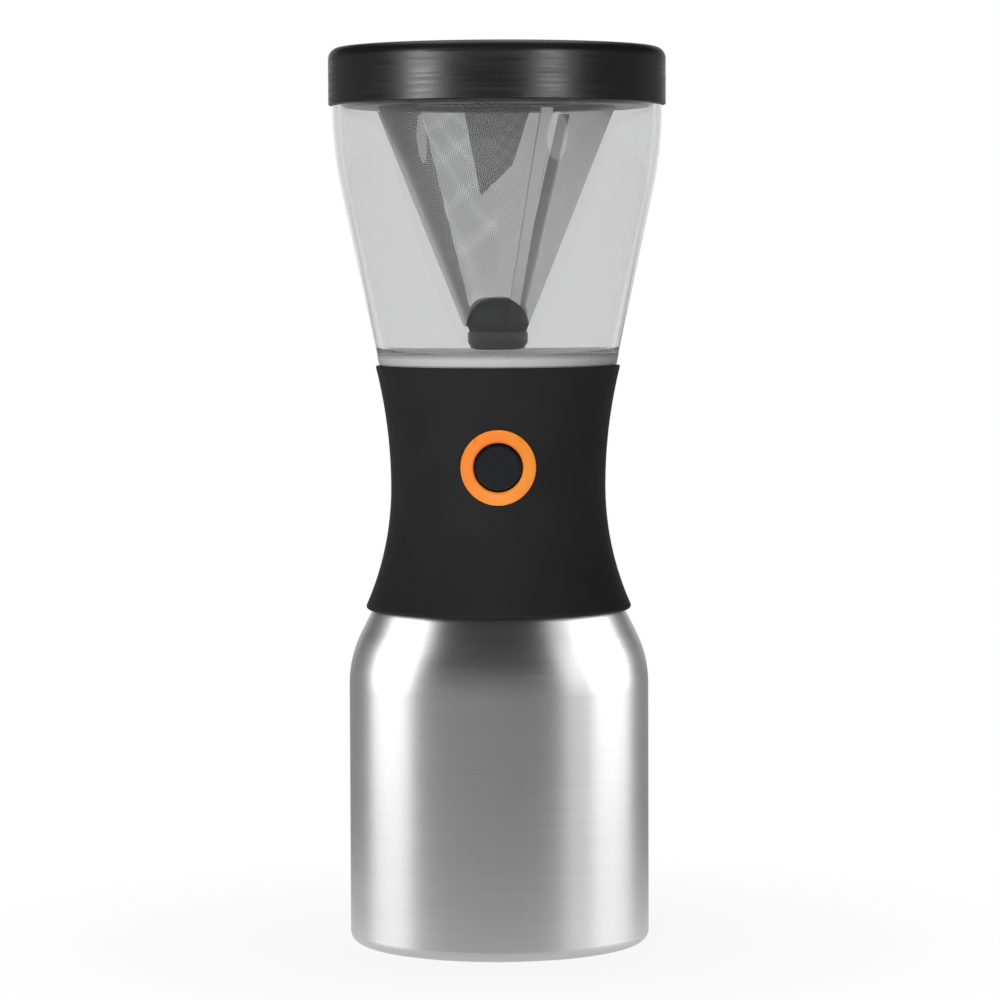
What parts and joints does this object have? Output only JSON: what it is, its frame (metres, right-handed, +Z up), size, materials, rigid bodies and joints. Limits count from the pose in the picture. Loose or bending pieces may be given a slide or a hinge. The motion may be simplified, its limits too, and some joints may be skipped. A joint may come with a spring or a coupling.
{
  "type": "cold brew coffee maker",
  "caption": "Cold brew coffee maker: steel carafe, waisted black neck with an orange-ringed button that opens a drain valve, clear vessel with a mesh filter, and a lid.",
  "frame": {"origin": "centre of the carafe's base, on the surface it stands on", "axes": "+Z up along the carafe's axis, -Y out of the front button, +X to the right of a person facing the button"},
  "size_m": [0.124, 0.124, 0.3298],
  "materials": {
    "steel": "brushed",
    "polished_steel": "polished",
    "soft_black": "matte",
    "black_plastic": "satin",
    "orange_plastic": "glossy",
    "clear_plastic": "clear, slightly grey",
    "silicone": "matte",
    "mesh_steel": "fine mesh"
  },
  "bodies": {
    "carafe": {"carafe_shell": "steel", "carafe_liner": "steel", "carafe_base": "steel"},
    "seal": {"mouth_seal": "silicone"},
    "brewer": {"neck_shell": "black_plastic", "neck_sleeve": "soft_black", "button_ring": "orange_plastic", "valve_body": "black_plastic", "stem_guide": "black_plastic", "boss_seal": "silicone", "deck_screws": "polished_steel", "vessel": "clear_plastic", "vessel_gasket": "silicone"},
    "button": {"button_cap": "black_plastic", "push_rod": "black_plastic", "rod_seal": "silicone", "button_spring": "polished_steel"},
    "stopper": {"stopper_plug": "silicone", "stopper_stem": "polished_steel", "stem_pin": "polished_steel", "stem_clip": "polished_steel", "valve_spring": "polished_steel"},
    "filter": {"filter_ring": "black_plastic", "filter_mesh": "mesh_steel", "filter_seams": "polished_steel", "filter_tip": "black_plastic", "filter_plug": "black_plastic"},
    "lid": {"lid_cap": "black_plastic", "lid_seal": "silicone"}
  },
  "joints": [
    {"name": "brewer_rise", "type": "slide", "parent": "carafe", "child": "seal", "axis": [0, 0, 1], "range_m": [0, 0.024]},
    {"name": "brewer_twist", "type": "hinge", "parent": "seal", "child": "brewer", "pos_m": [0, 0, 0.1485], "axis": [0, 0, 1], "range_deg": [0, 360]},
    {"name": "button_press", "type": "slide", "parent": "brewer", "child": "button", "axis": [0, 1, 0], "range_m": [0, 0.004], "stiffness_N_per_m": 400, "springref_m": -0.004, "deforming": ["button_spring"]},
    {"name": "valve_lift", "type": "slide", "parent": "brewer", "child": "stopper", "axis": [0, 0, 1], "range_m": [0, 0.004], "stiffness_N_per_m": 150, "springref_m": -0.004, "deforming": ["valve_spring"]},
    {"name": "filter_lift", "type": "slide", "parent": "brewer", "child": "filter", "axis": [0, 0, 1], "range_m": [0, 0.11]},
    {"name": "lid_lift", "type": "slide", "parent": "filter", "child": "lid", "axis": [0, 0, 1], "range_m": [0, 0.06]}
  ],
  "couplings": [
    {"joint": "brewer_rise", "follows": "brewer_twist", "m_per_rad": 0.0038},
    {"joint": "valve_lift", "follows": "button_press", "ratio": 1}
  ]
}
